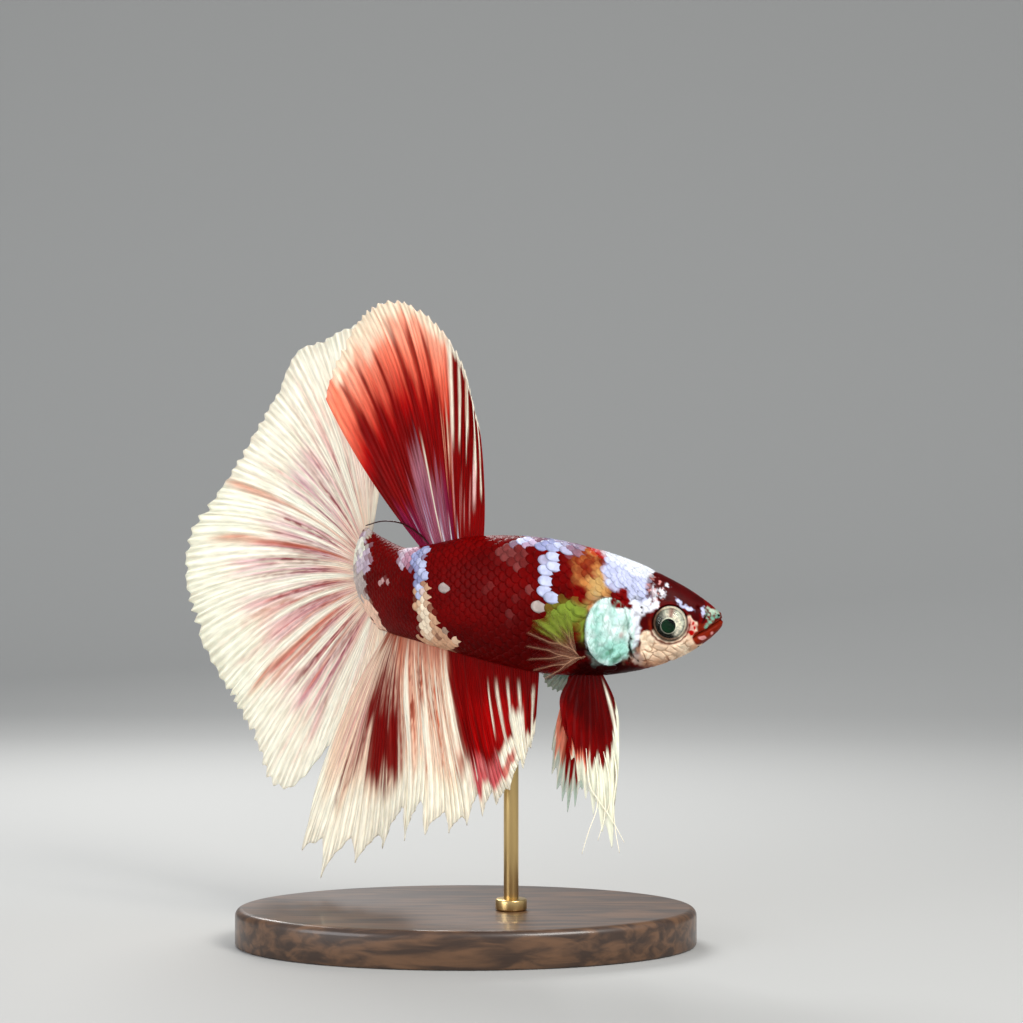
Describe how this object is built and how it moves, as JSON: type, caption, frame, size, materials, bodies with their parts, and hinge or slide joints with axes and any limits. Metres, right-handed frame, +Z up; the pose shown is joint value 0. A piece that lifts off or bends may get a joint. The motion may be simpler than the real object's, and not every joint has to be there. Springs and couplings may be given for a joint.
{
  "type": "halfmoon betta fish model",
  "caption": "Life-size still model of a halfmoon betta fish with spread fins, turning in a swimming pose, held over a flat oval base by one short rod.",
  "frame": {"origin": "centre of the flat underside of the oval stand base", "axes": "+Z up out of the base; +X the way the head points; -Y out of the fish's right flank at the head"},
  "size_m": [0.0614, 0.0411, 0.0699],
  "materials": {
    "skin": "satin",
    "pearl_scales": "satin",
    "cream_fins": "satin",
    "red_fins": "satin",
    "clear_fins": "satin",
    "eyes": "gloss",
    "stand_wood": "satin",
    "stand_brass": "satin"
  },
  "bodies": {
    "root": {"head": "skin", "trunk": "skin", "tail_stalk": "skin", "gill_cover_right": "pearl_scales", "gill_cover_left": "pearl_scales", "eye_right": "eyes", "eye_left": "eyes", "caudal_fin": "cream_fins", "anal_fin": "cream_fins", "dorsal_fin": "red_fins", "pelvic_fin_right": "red_fins", "pelvic_fin_left": "red_fins", "pectoral_fin_right": "clear_fins", "pectoral_fin_left": "clear_fins", "stand_base": "stand_wood", "stand_rod": "stand_brass"}
  },
  "joints": []
}
